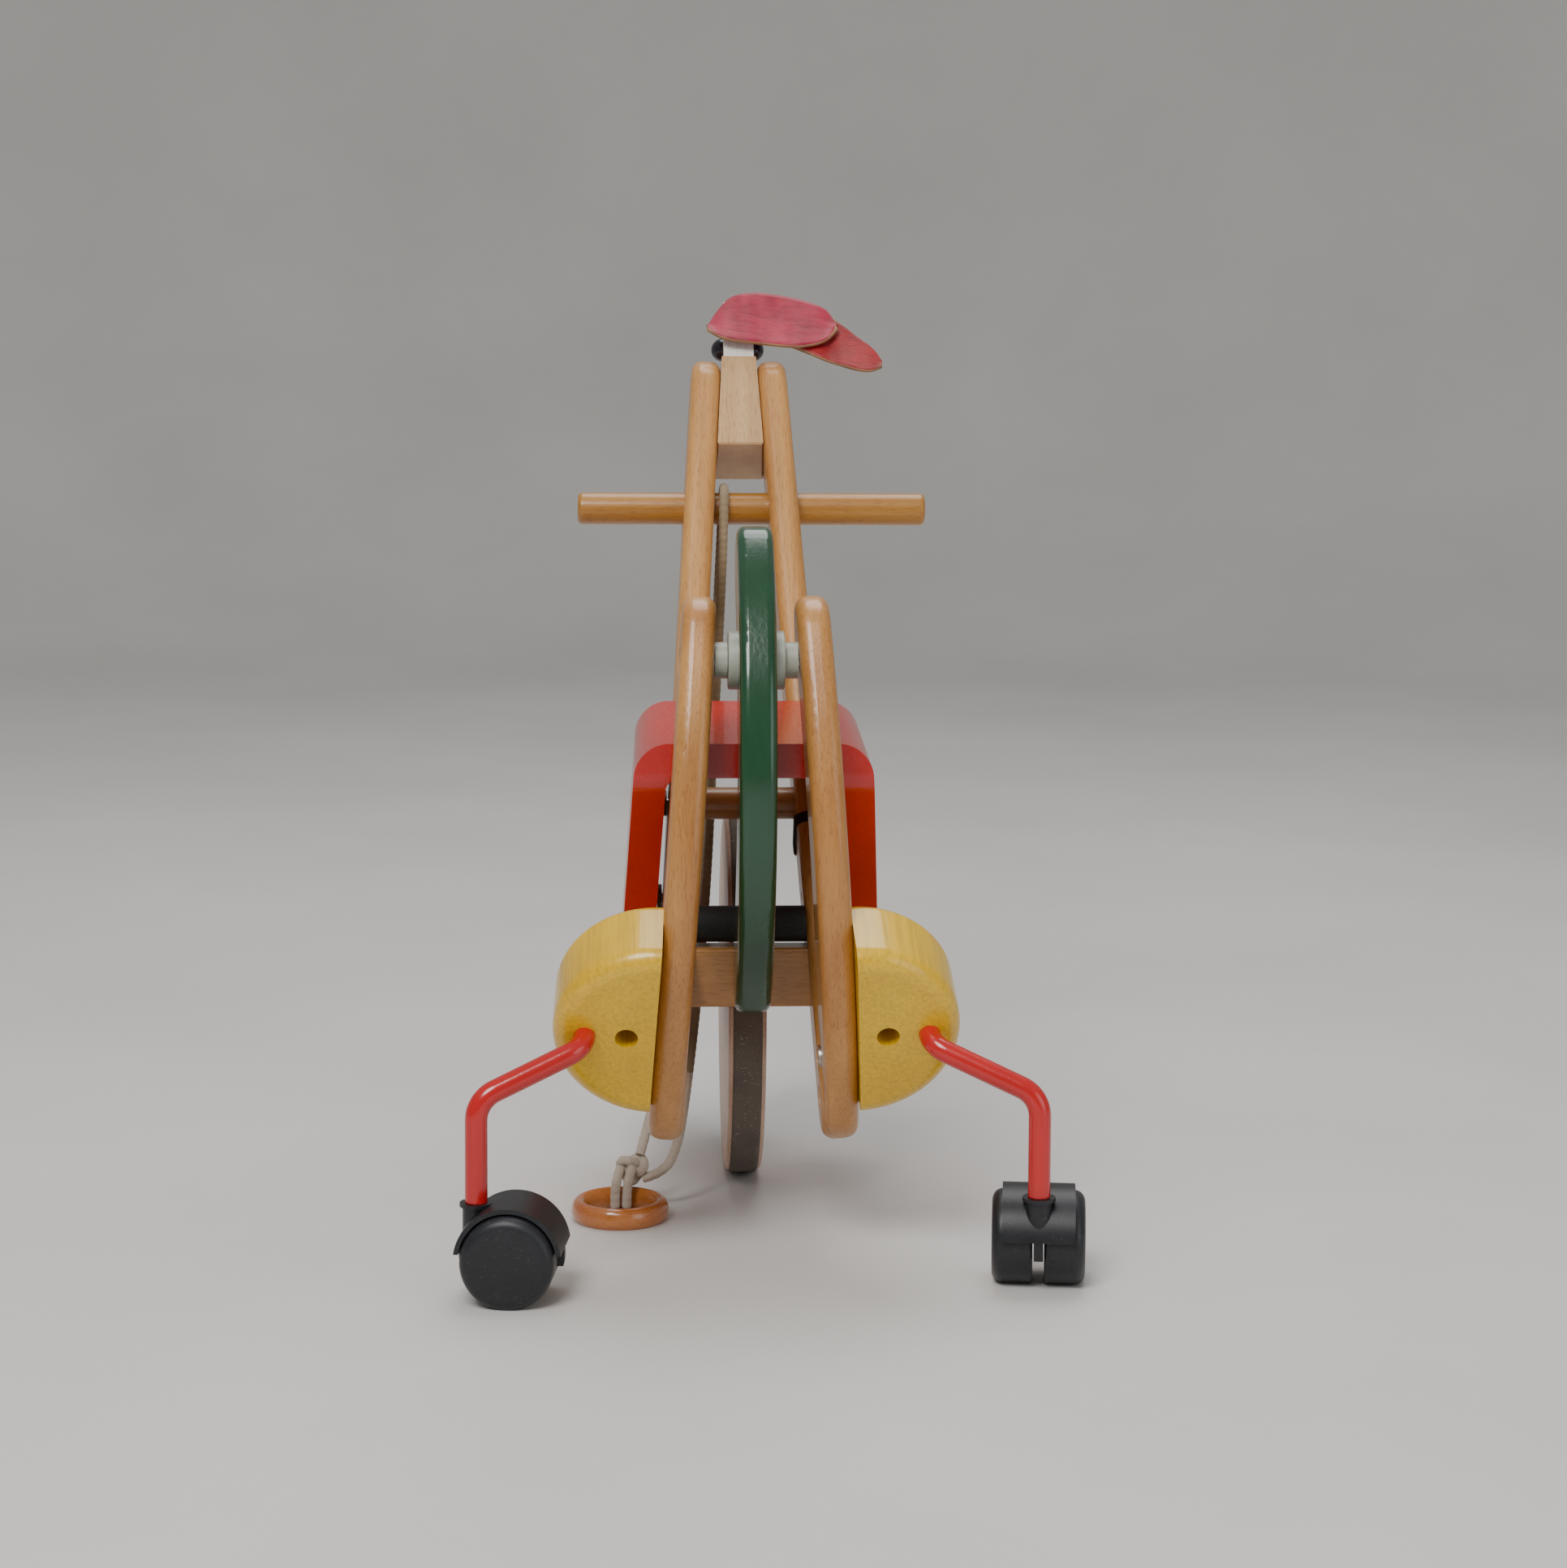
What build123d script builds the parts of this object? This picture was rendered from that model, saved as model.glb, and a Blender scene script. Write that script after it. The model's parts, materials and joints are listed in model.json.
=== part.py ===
from build123d import *
import os
from math import asin, atan, atan2, cos, degrees, pi, radians, sin, sqrt, tan

# Toddler's wooden ride-on animal. Millimetres, +Z up, +Y the riding direction, +X the rider's right.
# The working frame has Y = 0 at the rear castors' stems and Z = 0 on the floor; the whole model is
# moved at the end so that the row's origin is the middle of its footprint on the floor.

# ---- driving dimensions ------------------------------------------------------------------------
BOARD = 18.5            # thickness of the side frames' boards
SPLAY = 0.064           # how far a side frame leans in per unit of height
HALF_GAP = 43.0         # inner face of a side frame from the middle plane, at floor level
REAR_STEP = 1.6         # the rear slats stand this much further out than the neck slats
EDGE_ROUND = 7.0        # rounding on the slats' edges
FIT = 0.05              # radial clearance of a pin in its hole
SIDE_PLAY = 0.3         # gap between faces that turn past each other

REAR_CENTRE = (280.0, 220.0)    # centre of the rear slats' curve, as (Y, Z)
REAR_RADIUS = 234.0             # radius of its middle line
REAR_WIDTH = 52.0
REAR_TOP, REAR_BOTTOM = 366.0, 62.0
LAP_BOLTS = [(86.0, 108.0), (92.0, 84.0)]       # (Y, Z) of the bolts through each half-lap
LAP_BOLT_R, LAP_HEAD_R, LAP_HEAD_HIGH = 3.0, 7.0, 3.5
HEAD_GAP = 0.6                  # bolt heads, washers and spacers stand this far off their faces

NECK_POINT = (235.0, 298.0)     # a point of the neck slats' middle line, as (Y, Z)
NECK_SLOPE = 0.66               # forward lean per unit of height
NECK_WIDTH = 49.0
NECK_TOP, NECK_BOTTOM = 498.0, 60.0

HEAD_DEEP, HEAD_WOOD, HEAD_CROWN, CROWN_WIDE = 43.0, 66.0, 43.0, 19.0
HEAD_FOOT_Z = 435.0             # where the head's underside meets the neck's middle line
EYE_R, EYE_UP, EYE_BACK = 7.5, 18.0, -2.0
LEATHER = 3.0
UPPER_EAR = dict(low_x=-20, high_x=62, middle_up=95.0, high=31.0, droop=3.0)
LOWER_EAR = dict(low_x=22, high_x=92, middle_up=84.0, high=24.0, droop=14.0)
EAR_PIN_AT, PIN_HEAD_R, PIN_HEAD_HIGH = (2.0, 97.0), 4.0, 2.4
PIN_R, PIN_LONG = 1.2, 10.0

BAR_AT, BAR_R, BAR_LONG, BAR_OFFSET = (307.0, 406.0), 10.0, 217.0, 7.0
DOWEL_AT, DOWEL_R = (194.0, 236.0), 9.5
DOWEL_INSET = 0.5               # the dowel's ends stop this far inside the slats' outer faces
BAND_Z, BAND_HIGH, BAND_THICK, BAND_SLACK = 219.0, 6.0, 1.6, 0.35

SEAT_NEAR, SEAT_FAR = 86.0, 188.0
SEAT_Z, SEAT_TILT, SEAT_BOARD = 284.0, 7.5, 19.0
PANEL_GAP, PANEL_BOARD = 22.4, 18.3     # panel's inner face beyond the frame's inner face; thickness
SEAT_SKIRT = 12.0                       # how far the seat board's rounded ends reach down the sides
SEAT_BOLTS = [DOWEL_AT, (160.0, 186.0)]
SEAT_BOLT_R, SEAT_HEAD_R, SEAT_HEAD_HIGH = 3.0, 7.5, 4.0

WHEEL_AT, WHEEL_R, WHEEL_WIDE = (261.0, 110.0), 110.0, 22.0
TREAD_WIDE, TREAD_DEEP = 17.0, 5.0
AXLE_R, BUSH_R, BUSH_PROUD = 5.0, 8.0, 0.5
NUT_R, NUT_LONG, WASHER_R, WASHER_THICK = 8.0, 9.0, 10.0, 1.5
NUT_GAP = 0.7                   # the axle nuts' washers and the tail spacers stand this far off

LEVER_CENTRE = (190.0, 268.0)   # centre of the tail lever's curve, as (Y, Z)
LEVER_OUTER, LEVER_WIDE, LEVER_THICK, LEVER_TOP = 170.0, 50.0, 20.0, 404.0
PIVOT_AT, PIVOT_R, LEVER_BUSH_R = (68.0, 332.0), 4.0, 7.0
FLANGE_R, FLANGE_THICK, PIVOT_SPACER_R = 16.0, 5.5, 10.0
CAP_NUT_R, CAP_NUT_HIGH, CAP_NUT_GRIP = 8.0, 5.0, 3.0
PIVOT_SLAT_IN = HALF_GAP + REAR_STEP - SPLAY * PIVOT_AT[1]     # X of a rear slat's faces at the pivot
PIVOT_SLAT_OUT = PIVOT_SLAT_IN + BOARD
CAP_NUT_OUT = PIVOT_SLAT_OUT - HEAD_GAP                        # the pivot's nuts are let into the slats

BLOCK_Y, BLOCK_Z = (126.0, 146.0), (128.0, 162.0)
BUMPER_AT, BUMPER_R, BUMPER_CORE_R = (136.0, 174.5), 10.3, 5.0

DISC_R, DISC_THICK, DISC_ROUND, DISC_TILT = 55.5, 48.0, 10.0, 27.0
DISC_FACE = (26.0, 131.5)       # middle of the half-disc's rear face, as (Y, Z)
LEG_R, LEG_HOLE_OUT, SPARE_HOLE_OUT, SPARE_HOLE_R = 6.0, 38.0, 15.6, 6.2
LEG_HOLE_DEEP, SPARE_HOLE_DEEP, LEG_STRAIGHT, LEG_BEND = 28.0, 25.0, 9.0, 14.0
STEM_X, ELBOW_Z, LEG_FOOT_Z, ELBOW_BEND = 149.0, 106.0, 52.0, 16.0

CASTOR_R, CASTOR_WIDE, CASTOR_TRAIL, CASTOR_GAP = 25.0, 50.0, 19.0, 6.4
HOOD_IN, HOOD_OUT, HOOD_WIDE = 26.0, 28.5, 39.0
CASTOR_PIN_R, STEM_R = 3.0, 4.0
FLANGE_TOP = LEG_FOOT_Z - SIDE_PLAY
NECK_R, COLLAR_R, COLLAR_HIGH, WEB, HUB_R = 7.2, 8.8, 1.8, 5.0, 9.0
HOOD_ABOVE_HUB = 4.0            # the hood's rim and the neck's foot are this far above the wheels' axis
WEB_BELOW_HUB = 6.0
STEM_LOW, STEM_TOP = 46.4, 81.0
CASTOR_HEADING = {"left": -6.0, "right": 82.0}     # direction in which each castor trails

ROPE_R = 3.0
RING_AT, RING_R, RING_WIDE, RING_HIGH = (-74.0, 145.0), 23.8, 9.0, 13.0
KNOT_AT, KNOT_R = (-67.0, 170.0, 23.6), 10.0
ROPE_CLEAR = 0.3
ROPE_TOP = (-10.5, BAR_AT[0], BAR_AT[1] + BAR_R + ROPE_R + ROPE_CLEAR)
ROPE_TURN = BAR_R + ROPE_R + ROPE_CLEAR
REAR_STRAND = [
    ROPE_TOP, (-10.5, BAR_AT[0] - ROPE_TURN, ROPE_TOP[2]), (-11, 292, 393.5), (-13, 286, 343),
    (-18, 262, 260), (-22, 240, 180), (-29, 212, 107), (-36, 185, 58), (-40.5, 171, 36),
    (-48, 165, 22), (-60.5, 168, 18)]
FRONT_STRAND = [
    ROPE_TOP, (-10.5, BAR_AT[0] + ROPE_TURN, ROPE_TOP[2]), (-11.5, 321, 394), (-14, 315, 345),
    (-18, 300, 262), (-24, 277, 183), (-33, 238, 113), (-49, 197, 76), (-57, 177, 51),
    (-62.5, 171, 31.5)]
BEND_FRACTION = 0.45
ROPE_NODES = ("pull_rope_rear", "pull_rope_front", "pull_ring", "rope_knot")

FAR = 600.0             # larger than the whole object, for cutting tools

SIDES = {"left": -1, "right": 1}
parts = {}

# ---- the splayed side planes ---------------------------------------------------------------------
LEAN = atan(SPLAY)
OUTWARD = Vector(cos(LEAN), 0, sin(LEAN))
UPWARD = Vector(-sin(LEAN), 0, cos(LEAN))
FORWARD = Vector(0, 1, 0)


def side_plane(offset=0.0):
    """Plane of the right side frame's inner face, moved outward; its axes are +Y and up the board."""
    return Plane(origin=Vector(HALF_GAP, 0, 0) + OUTWARD * offset, x_dir=(0, 1, 0), z_dir=OUTWARD)


def on_side(y, z, offset=0.0):
    """Point at (Y, Z) on the right side plane moved outward by offset."""
    inner = HALF_GAP - SPLAY * z + offset / cos(LEAN)
    return Vector(inner, y, z)


def up_board(z):
    """Distance up the board of a point at height z."""
    return z / cos(LEAN)


def mirrored(side, shape):
    return shape if side == "right" else mirror(shape, about=Plane.YZ)


def rim_edges(shape, direction):
    """Edges of a board that don't run through its thickness."""
    return [e for e in shape.edges() if abs(e.tangent_at(0.5).dot(direction)) < 0.9]


def x_cylinder(at, radius, low, high):
    """Cylinder along X at (Y, Z), between two values of X."""
    middle = (low + high) / 2
    return Pos(middle, at[0], at[1]) * Rot(0, 90, 0) * Cylinder(radius, high - low)


def slab_between(offset, low_z=-50.0, high_z=FAR):
    """Everything between the two side planes moved outward by offset."""
    profile = [(HALF_GAP + offset - SPLAY * z, z) for z in (low_z, high_z)]
    outline = profile + [(-x, z) for x, z in reversed(profile)]
    return Pos(0, -100, 0) * extrude(Plane.XZ * make_face(Polyline(*outline, close=True)), amount=-FAR)


def neck_y(z):
    return NECK_POINT[0] + NECK_SLOPE * (z - NECK_POINT[1])


# ---- side frames -----------------------------------------------------------------------------------
def neck_outline():
    cap = NECK_WIDTH / 2
    ends = [(neck_y(z), up_board(z)) for z in (NECK_BOTTOM + cap, NECK_TOP - cap)]
    return SlotCenterToCenter(sqrt((ends[1][0] - ends[0][0]) ** 2 + (ends[1][1] - ends[0][1]) ** 2),
                              NECK_WIDTH, rotation=degrees(atan2(ends[1][1] - ends[0][1],
                                                                 ends[1][0] - ends[0][0]))
                              ).moved(Location(((ends[0][0] + ends[1][0]) / 2,
                                                (ends[0][1] + ends[1][1]) / 2, 0)))


def rear_outline():
    cap = REAR_WIDTH / 2
    top = degrees(asin((REAR_TOP - cap - REAR_CENTRE[1]) / REAR_RADIUS))
    bottom = degrees(asin((REAR_CENTRE[1] - REAR_BOTTOM - cap) / REAR_RADIUS))
    centre = (REAR_CENTRE[0], up_board(REAR_CENTRE[1]))
    arc = CenterArc(centre, REAR_RADIUS, 180 - top, top + bottom)
    return SlotArc(arc, REAR_WIDTH)


def slat(outline, offset):
    board = extrude(side_plane(offset) * outline, amount=BOARD)
    return fillet(rim_edges(board, OUTWARD), EDGE_ROUND)


def side_frame():
    """Neck slat and rear slat of the right side, halved into each other where they cross."""
    middle = (BOARD + REAR_STEP) / 2
    crossing_outer = extrude(side_plane(middle) * rear_outline(), amount=BOARD)
    crossing_inner = extrude(side_plane(middle) * neck_outline(), amount=-BOARD)
    neck = slat(neck_outline(), 0.0) - crossing_outer
    rear = slat(rear_outline(), REAR_STEP) - crossing_inner
    neck -= x_cylinder(BAR_AT, BAR_R + FIT, 0, FAR)
    neck -= x_cylinder(DOWEL_AT, DOWEL_R + FIT, 0, FAR)
    neck -= x_cylinder(BUMPER_AT, BUMPER_CORE_R + FIT, 0, HALF_GAP)
    rear -= x_cylinder(PIVOT_AT, PIVOT_R + FIT, 0, FAR)
    rear -= x_cylinder(PIVOT_AT, CAP_NUT_R + FIT, CAP_NUT_OUT - CAP_NUT_HIGH - FIT, FAR)
    for y, z in LAP_BOLTS:
        hole = lap_hole(y, z)
        neck -= hole
        rear -= hole
    return neck, rear


def board_axis(y, z):
    """Plane through the board at (Y, Z), square to its faces, looking outward."""
    return Plane(origin=on_side(y, z), x_dir=(0, 1, 0), z_dir=OUTWARD)


def lap_hole(y, z):
    """Bolt hole with a wider recess for the head, sunk from the board's inner face."""
    deep = HEAD_GAP + LAP_HEAD_HIGH + FIT
    recess = Cylinder(LAP_HEAD_R + FIT, 2 * deep)
    return board_axis(y, z) * (Cylinder(LAP_BOLT_R + FIT, FAR / 4) + recess)


def lap_bolt(y, z):
    """Bolt through the half-lap, its head let in on the inside and its end flush on the outside."""
    through = BOARD + REAR_STEP
    shank = Pos(0, 0, (HEAD_GAP + through) / 2) * Cylinder(LAP_BOLT_R, through - HEAD_GAP)
    head = Pos(0, 0, HEAD_GAP + LAP_HEAD_HIGH / 2) * Cylinder(LAP_HEAD_R, LAP_HEAD_HIGH)
    return board_axis(y, z) * (shank + head)


def make_side_frames():
    neck, rear = side_frame()
    bolts = [lap_bolt(y, z) for y, z in LAP_BOLTS]
    for side in SIDES:
        parts[f"{side}_neck_slat"] = mirrored(side, neck)
        parts[f"{side}_rear_slat"] = mirrored(side, rear)
    parts["lap_bolts"] = Compound([mirrored(side, bolt) for bolt in bolts for side in SIDES])


# ---- head --------------------------------------------------------------------------------------------
NECK_LEAN = atan(NECK_SLOPE)
NECK_UP = Vector(0, sin(NECK_LEAN), cos(NECK_LEAN))
HEAD_PLANE = Plane(origin=(0, neck_y(HEAD_FOOT_Z), HEAD_FOOT_Z), x_dir=(1, 0, 0), z_dir=NECK_UP)
CROWN_TOP = HEAD_WOOD + HEAD_CROWN


def head_bar(low, high, wide):
    """Square bar along the neck's lean, from low to high above the head's foot."""
    return HEAD_PLANE * Pos(0, 0, (low + high) / 2) * Box(wide, HEAD_DEEP, high - low)


def eye(sign):
    """Half ball on the side of the crown."""
    ball = Sphere(EYE_R) & Pos(0, 0, EYE_R / 2) * Box(3 * EYE_R, 3 * EYE_R, EYE_R)
    spot = Pos(sign * CROWN_WIDE / 2, EYE_BACK, HEAD_WOOD + EYE_UP)
    return HEAD_PLANE * spot * Rot(0, sign * 90, 0) * ball


def ear(back, low_x, high_x, middle_up, high, droop):
    """Leather ear folded flat against the back of the crown, as a plate with round ends."""
    outline = SlotOverall(high_x - low_x, high)
    plate = extrude(Plane.XZ * outline, amount=-LEATHER)
    return HEAD_PLANE * Pos((low_x + high_x) / 2, back, middle_up) * Rot(0, droop, 0) * plate


def ear_pin():
    """Domed nail that holds the ears on the crown."""
    face = -HEAD_DEEP / 2 - LEATHER
    dome = fillet(Cylinder(PIN_HEAD_R, PIN_HEAD_HIGH).edges().sort_by(Axis.Z)[-1], PIN_HEAD_R / 2)
    shank = Pos(0, 0, -(PIN_HEAD_HIGH + PIN_LONG) / 2) * Cylinder(PIN_R, PIN_LONG)
    pin = Rot(90, 0, 0) * (dome + shank)
    return HEAD_PLANE * Pos(EAR_PIN_AT[0], face - PIN_HEAD_HIGH / 2, EAR_PIN_AT[1]) * pin


def make_head():
    wood = head_bar(0, HEAD_WOOD, 2 * HALF_GAP) & slab_between(-FIT)
    wood = chamfer(wood.faces().sort_by(Axis.Z)[0].edges(), 1.0)
    crown = head_bar(HEAD_WOOD, CROWN_TOP, CROWN_WIDE)
    crown = fillet(crown.faces().sort_by(Axis.Z)[-1].edges(), 2.0)
    parts["head_block"] = wood
    parts["head_crown"] = crown
    parts["left_eye"] = eye(-1)
    parts["right_eye"] = eye(1)
    back_face = -HEAD_DEEP / 2
    nail_way = HEAD_PLANE * Pos(EAR_PIN_AT[0], back_face, EAR_PIN_AT[1]) * Rot(90, 0, 0)
    nail_hole = nail_way * Cylinder(PIN_R + FIT, 3 * PIN_LONG)
    parts["head_crown"] -= nail_hole
    parts["ear_flap_upper"] = ear(back_face - LEATHER, **UPPER_EAR) - nail_hole
    parts["ear_flap_lower"] = ear(back_face, **LOWER_EAR)
    parts["ear_pin"] = ear_pin()


# ---- round bars, cross block and bumper ----------------------------------------------------------------
def make_cross_pieces():
    bar = x_cylinder(BAR_AT, BAR_R, BAR_OFFSET - BAR_LONG / 2, BAR_OFFSET + BAR_LONG / 2)
    parts["handlebar"] = fillet(bar.edges().filter_by(GeomType.CIRCLE), 3.0)
    dowel = x_cylinder(DOWEL_AT, DOWEL_R, -FAR, FAR) & slab_between(BOARD - DOWEL_INSET)
    parts["lower_dowel"] = dowel
    wide_block = Pos(0, sum(BLOCK_Y) / 2, sum(BLOCK_Z) / 2) * Box(
        2 * HALF_GAP, BLOCK_Y[1] - BLOCK_Y[0], BLOCK_Z[1] - BLOCK_Z[0])
    wide_block = fillet(wide_block.edges().filter_by(Axis.X), 2.5)
    parts["cross_block"] = wide_block & slab_between(-FIT)
    core = x_cylinder(BUMPER_AT, BUMPER_CORE_R, -HALF_GAP + 1, HALF_GAP - 1)
    sleeve = x_cylinder(BUMPER_AT, BUMPER_R, -FAR, FAR) & slab_between(-FIT)
    parts["bumper_core"] = core
    parts["bumper_sleeve"] = sleeve - x_cylinder(BUMPER_AT, BUMPER_CORE_R, -FAR, FAR)


def make_neck_band():
    """Stretched rubber band round the right neck slat."""
    along = FORWARD * sin(NECK_LEAN) + UPWARD * cos(NECK_LEAN)
    middle = on_side(neck_y(BAND_Z), BAND_Z, BOARD / 2)
    plane = Plane(origin=middle, x_dir=OUTWARD, z_dir=along)
    inside = RectangleRounded(BOARD + 2 * BAND_SLACK, NECK_WIDTH + 2 * BAND_SLACK, EDGE_ROUND)
    outside = RectangleRounded(BOARD + 2 * BAND_THICK, NECK_WIDTH + 2 * BAND_THICK,
                               EDGE_ROUND + BAND_THICK)
    parts["neck_band"] = extrude(plane * (outside - inside), amount=BAND_HIGH / 2, both=True)


# ---- seat ------------------------------------------------------------------------------------------------
def below_seat_plane(depth):
    """Everything lower than the seat's top face moved down by depth."""
    face = Pos(0, SEAT_NEAR, SEAT_Z) * Rot(SEAT_TILT, 0, 0)
    return face * Pos(0, 0, -depth - FAR / 2) * Box(2 * FAR, 2 * FAR, FAR)


def seat_hood(offset, depth, corner):
    """Solid between two splayed planes under the seat plane, with its long top corners rounded."""
    solid = slab_between(offset) & below_seat_plane(depth)
    top = solid.faces().sort_by(Axis.Z)[-1]
    long_edges = top.edges().sort_by(SortBy.LENGTH)[-2:]
    return fillet(long_edges, corner)


def seat_outline():
    """Side view of the seat: a board above, with the legs running down and forward to the axle."""
    near_top = (SEAT_NEAR, 360)
    near_knee = (SEAT_NEAR, 262)
    near_foot = (170, 78)
    far_foot = (300, 70)
    far_heel = (300, 120)
    far_knee = (SEAT_FAR, 276)
    far_top = (SEAT_FAR, 360)
    lines = FilletPolyline(near_top, near_knee, near_foot, far_foot, far_heel, far_knee, far_top,
                           radius=[25, 34, 22, 26, 30])
    closing = Line(far_top, near_top)
    face = make_face([*lines.edges(), closing])
    return extrude(Plane.YZ * face, amount=FAR / 3, both=True)


def make_seat():
    inner = PANEL_GAP
    outer = PANEL_GAP + PANEL_BOARD
    shell = seat_hood(outer, 0.0, 20.0) - seat_hood(inner, SEAT_BOARD, 8.0)
    shell = shell & seat_outline()
    skirt = SEAT_BOARD + SEAT_SKIRT
    legs = shell & below_seat_plane(skirt)
    top = shell - below_seat_plane(skirt)
    for y, z in SEAT_BOLTS:
        recess = seat_head_out(z) - SEAT_HEAD_HIGH - FIT
        legs -= x_cylinder((y, z), SEAT_BOLT_R + FIT, -FAR, FAR)
        legs -= x_cylinder((y, z), SEAT_HEAD_R + FIT, recess, FAR)
        legs -= x_cylinder((y, z), SEAT_HEAD_R + FIT, -FAR, -recess)
    legs -= x_cylinder(WHEEL_AT, AXLE_R + FIT, -FAR, FAR)
    parts["seat_board"] = top
    for side, sign in SIDES.items():
        leg = [s for s in legs.solids() if s.center().X * sign > 0][0]
        parts[f"{side}_seat_panel"] = leg


def seat_head_out(z):
    """X of a seat bolt's head, which is let in just below the panel's outer face."""
    return HALF_GAP - SPLAY * z + PANEL_GAP + PANEL_BOARD - HEAD_GAP


def seat_bolt(y, z):
    """Bolt through a seat panel into the neck slat, its head let into the panel."""
    head_out = seat_head_out(z)
    into = BOARD + 2 if (y, z) == DOWEL_AT else BOARD - 4
    tip = head_out + HEAD_GAP - PANEL_BOARD - into
    shank = x_cylinder((y, z), SEAT_BOLT_R, tip, head_out - SEAT_HEAD_HIGH)
    head = x_cylinder((y, z), SEAT_HEAD_R, head_out - SEAT_HEAD_HIGH, head_out)
    return shank + head


def seat_spacer(y, z):
    inner = HALF_GAP - SPLAY * z
    ring = x_cylinder((y, z), SEAT_HEAD_R, inner + BOARD + HEAD_GAP, inner + PANEL_GAP - HEAD_GAP)
    return ring - x_cylinder((y, z), SEAT_BOLT_R, 0, FAR)


def make_seat_fixings():
    places = [(side, y, z) for side in SIDES for y, z in SEAT_BOLTS]
    parts["seat_bolts"] = Compound([mirrored(side, seat_bolt(y, z)) for side, y, z in places])
    parts["seat_spacers"] = Compound([mirrored(side, seat_spacer(y, z)) for side, y, z in places])
    for y, z in SEAT_BOLTS:
        hole = x_cylinder((y, z), SEAT_BOLT_R + FIT, -FAR, FAR)
        for side in SIDES:
            parts[f"{side}_neck_slat"] -= hole
        if (y, z) == DOWEL_AT:
            parts["lower_dowel"] -= hole


# ---- front wheel -------------------------------------------------------------------------------------------
def make_front_wheel():
    half = WHEEL_WIDE / 2
    disc = x_cylinder(WHEEL_AT, WHEEL_R - 1.0, -half, half)
    disc = fillet(disc.edges().filter_by(GeomType.CIRCLE), 4.0)
    groove = (x_cylinder(WHEEL_AT, WHEEL_R + 5, -TREAD_WIDE / 2, TREAD_WIDE / 2)
              - x_cylinder(WHEEL_AT, WHEEL_R - TREAD_DEEP, -half, half))
    bush = x_cylinder(WHEEL_AT, BUSH_R, -half - BUSH_PROUD, half + BUSH_PROUD)
    bush -= x_cylinder(WHEEL_AT, AXLE_R + FIT, -FAR, FAR)
    parts["front_wheel"] = disc - groove - x_cylinder(WHEEL_AT, BUSH_R, -FAR, FAR)
    tread = (x_cylinder(WHEEL_AT, WHEEL_R, -TREAD_WIDE / 2, TREAD_WIDE / 2)
             - x_cylinder(WHEEL_AT, WHEEL_R - TREAD_DEEP, -half, half))
    crown_edges = [e for e in tread.edges().filter_by(GeomType.CIRCLE) if e.radius > WHEEL_R - 1]
    parts["front_tread"] = fillet(crown_edges, 2.0)
    parts["front_wheel_bush"] = bush


def make_front_axle():
    panel_in = HALF_GAP - SPLAY * WHEEL_AT[1] + PANEL_GAP
    panel_out = panel_in + PANEL_BOARD
    parts["front_axle"] = x_cylinder(WHEEL_AT, AXLE_R, -panel_out - NUT_LONG, panel_out + NUT_LONG)
    start = WHEEL_WIDE / 2 + BUSH_PROUD + SIDE_PLAY
    bore = x_cylinder(WHEEL_AT, AXLE_R, -FAR, FAR)
    for side in SIDES:
        tube = x_cylinder(WHEEL_AT, BUSH_R, start, panel_in - HEAD_GAP) - bore
        washer_out = panel_out + NUT_GAP + WASHER_THICK
        washer = x_cylinder(WHEEL_AT, WASHER_R, panel_out + NUT_GAP, washer_out)
        nut = x_cylinder(WHEEL_AT, NUT_R, washer_out, panel_out + NUT_LONG + CAP_NUT_GRIP)
        nut = fillet(nut.edges().sort_by(Axis.X)[-1], 3.5)
        parts[f"{side}_axle_spacer"] = mirrored(side, tube)
        parts[f"{side}_axle_nut"] = mirrored(side, (washer + nut) - bore)


# ---- tail lever ----------------------------------------------------------------------------------------------
def make_tail_lever():
    middle_r = LEVER_OUTER - LEVER_WIDE / 2
    cap = LEVER_WIDE / 2
    half_angle = degrees(asin((LEVER_TOP - LEVER_CENTRE[1] - cap) / middle_r))
    outline = SlotArc(CenterArc(LEVER_CENTRE, middle_r, 180 - half_angle, 2 * half_angle), LEVER_WIDE)
    body = extrude(Plane.YZ * outline, amount=LEVER_THICK / 2, both=True)
    body = fillet(rim_edges(body, Vector(1, 0, 0)), 5.0)
    body -= x_cylinder(PIVOT_AT, LEVER_BUSH_R, -FAR, FAR)
    bore = x_cylinder(PIVOT_AT, PIVOT_R + FIT, -FAR, FAR)
    half = LEVER_THICK / 2
    parts["tail_lever"] = body
    parts["tail_bush"] = x_cylinder(PIVOT_AT, LEVER_BUSH_R, -half, half) - bore
    bolt_half = PIVOT_SLAT_OUT - CAP_NUT_GRIP
    nuts = []
    for side in SIDES:
        flange = x_cylinder(PIVOT_AT, FLANGE_R, half, half + FLANGE_THICK)
        flange = fillet(flange.edges().sort_by(Axis.X)[-1], 1.2) - bore
        spacer = x_cylinder(PIVOT_AT, PIVOT_SPACER_R, half + FLANGE_THICK + SIDE_PLAY,
                            PIVOT_SLAT_IN - NUT_GAP)
        spacer = spacer - x_cylinder(PIVOT_AT, PIVOT_R, -FAR, FAR)
        cap_nut = x_cylinder(PIVOT_AT, CAP_NUT_R, CAP_NUT_OUT - CAP_NUT_HIGH, CAP_NUT_OUT)
        cap_nut = fillet(cap_nut.edges().sort_by(Axis.X)[-1], 1.5)
        parts[f"{side}_tail_flange"] = mirrored(side, flange)
        parts[f"{side}_tail_spacer"] = mirrored(side, spacer)
        nuts.append(mirrored(side, cap_nut - x_cylinder(PIVOT_AT, PIVOT_R, 0, bolt_half)))
    parts["tail_nuts"] = Compound(nuts)
    parts["tail_pivot_bolt"] = x_cylinder(PIVOT_AT, PIVOT_R, -bolt_half, bolt_half)


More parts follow.
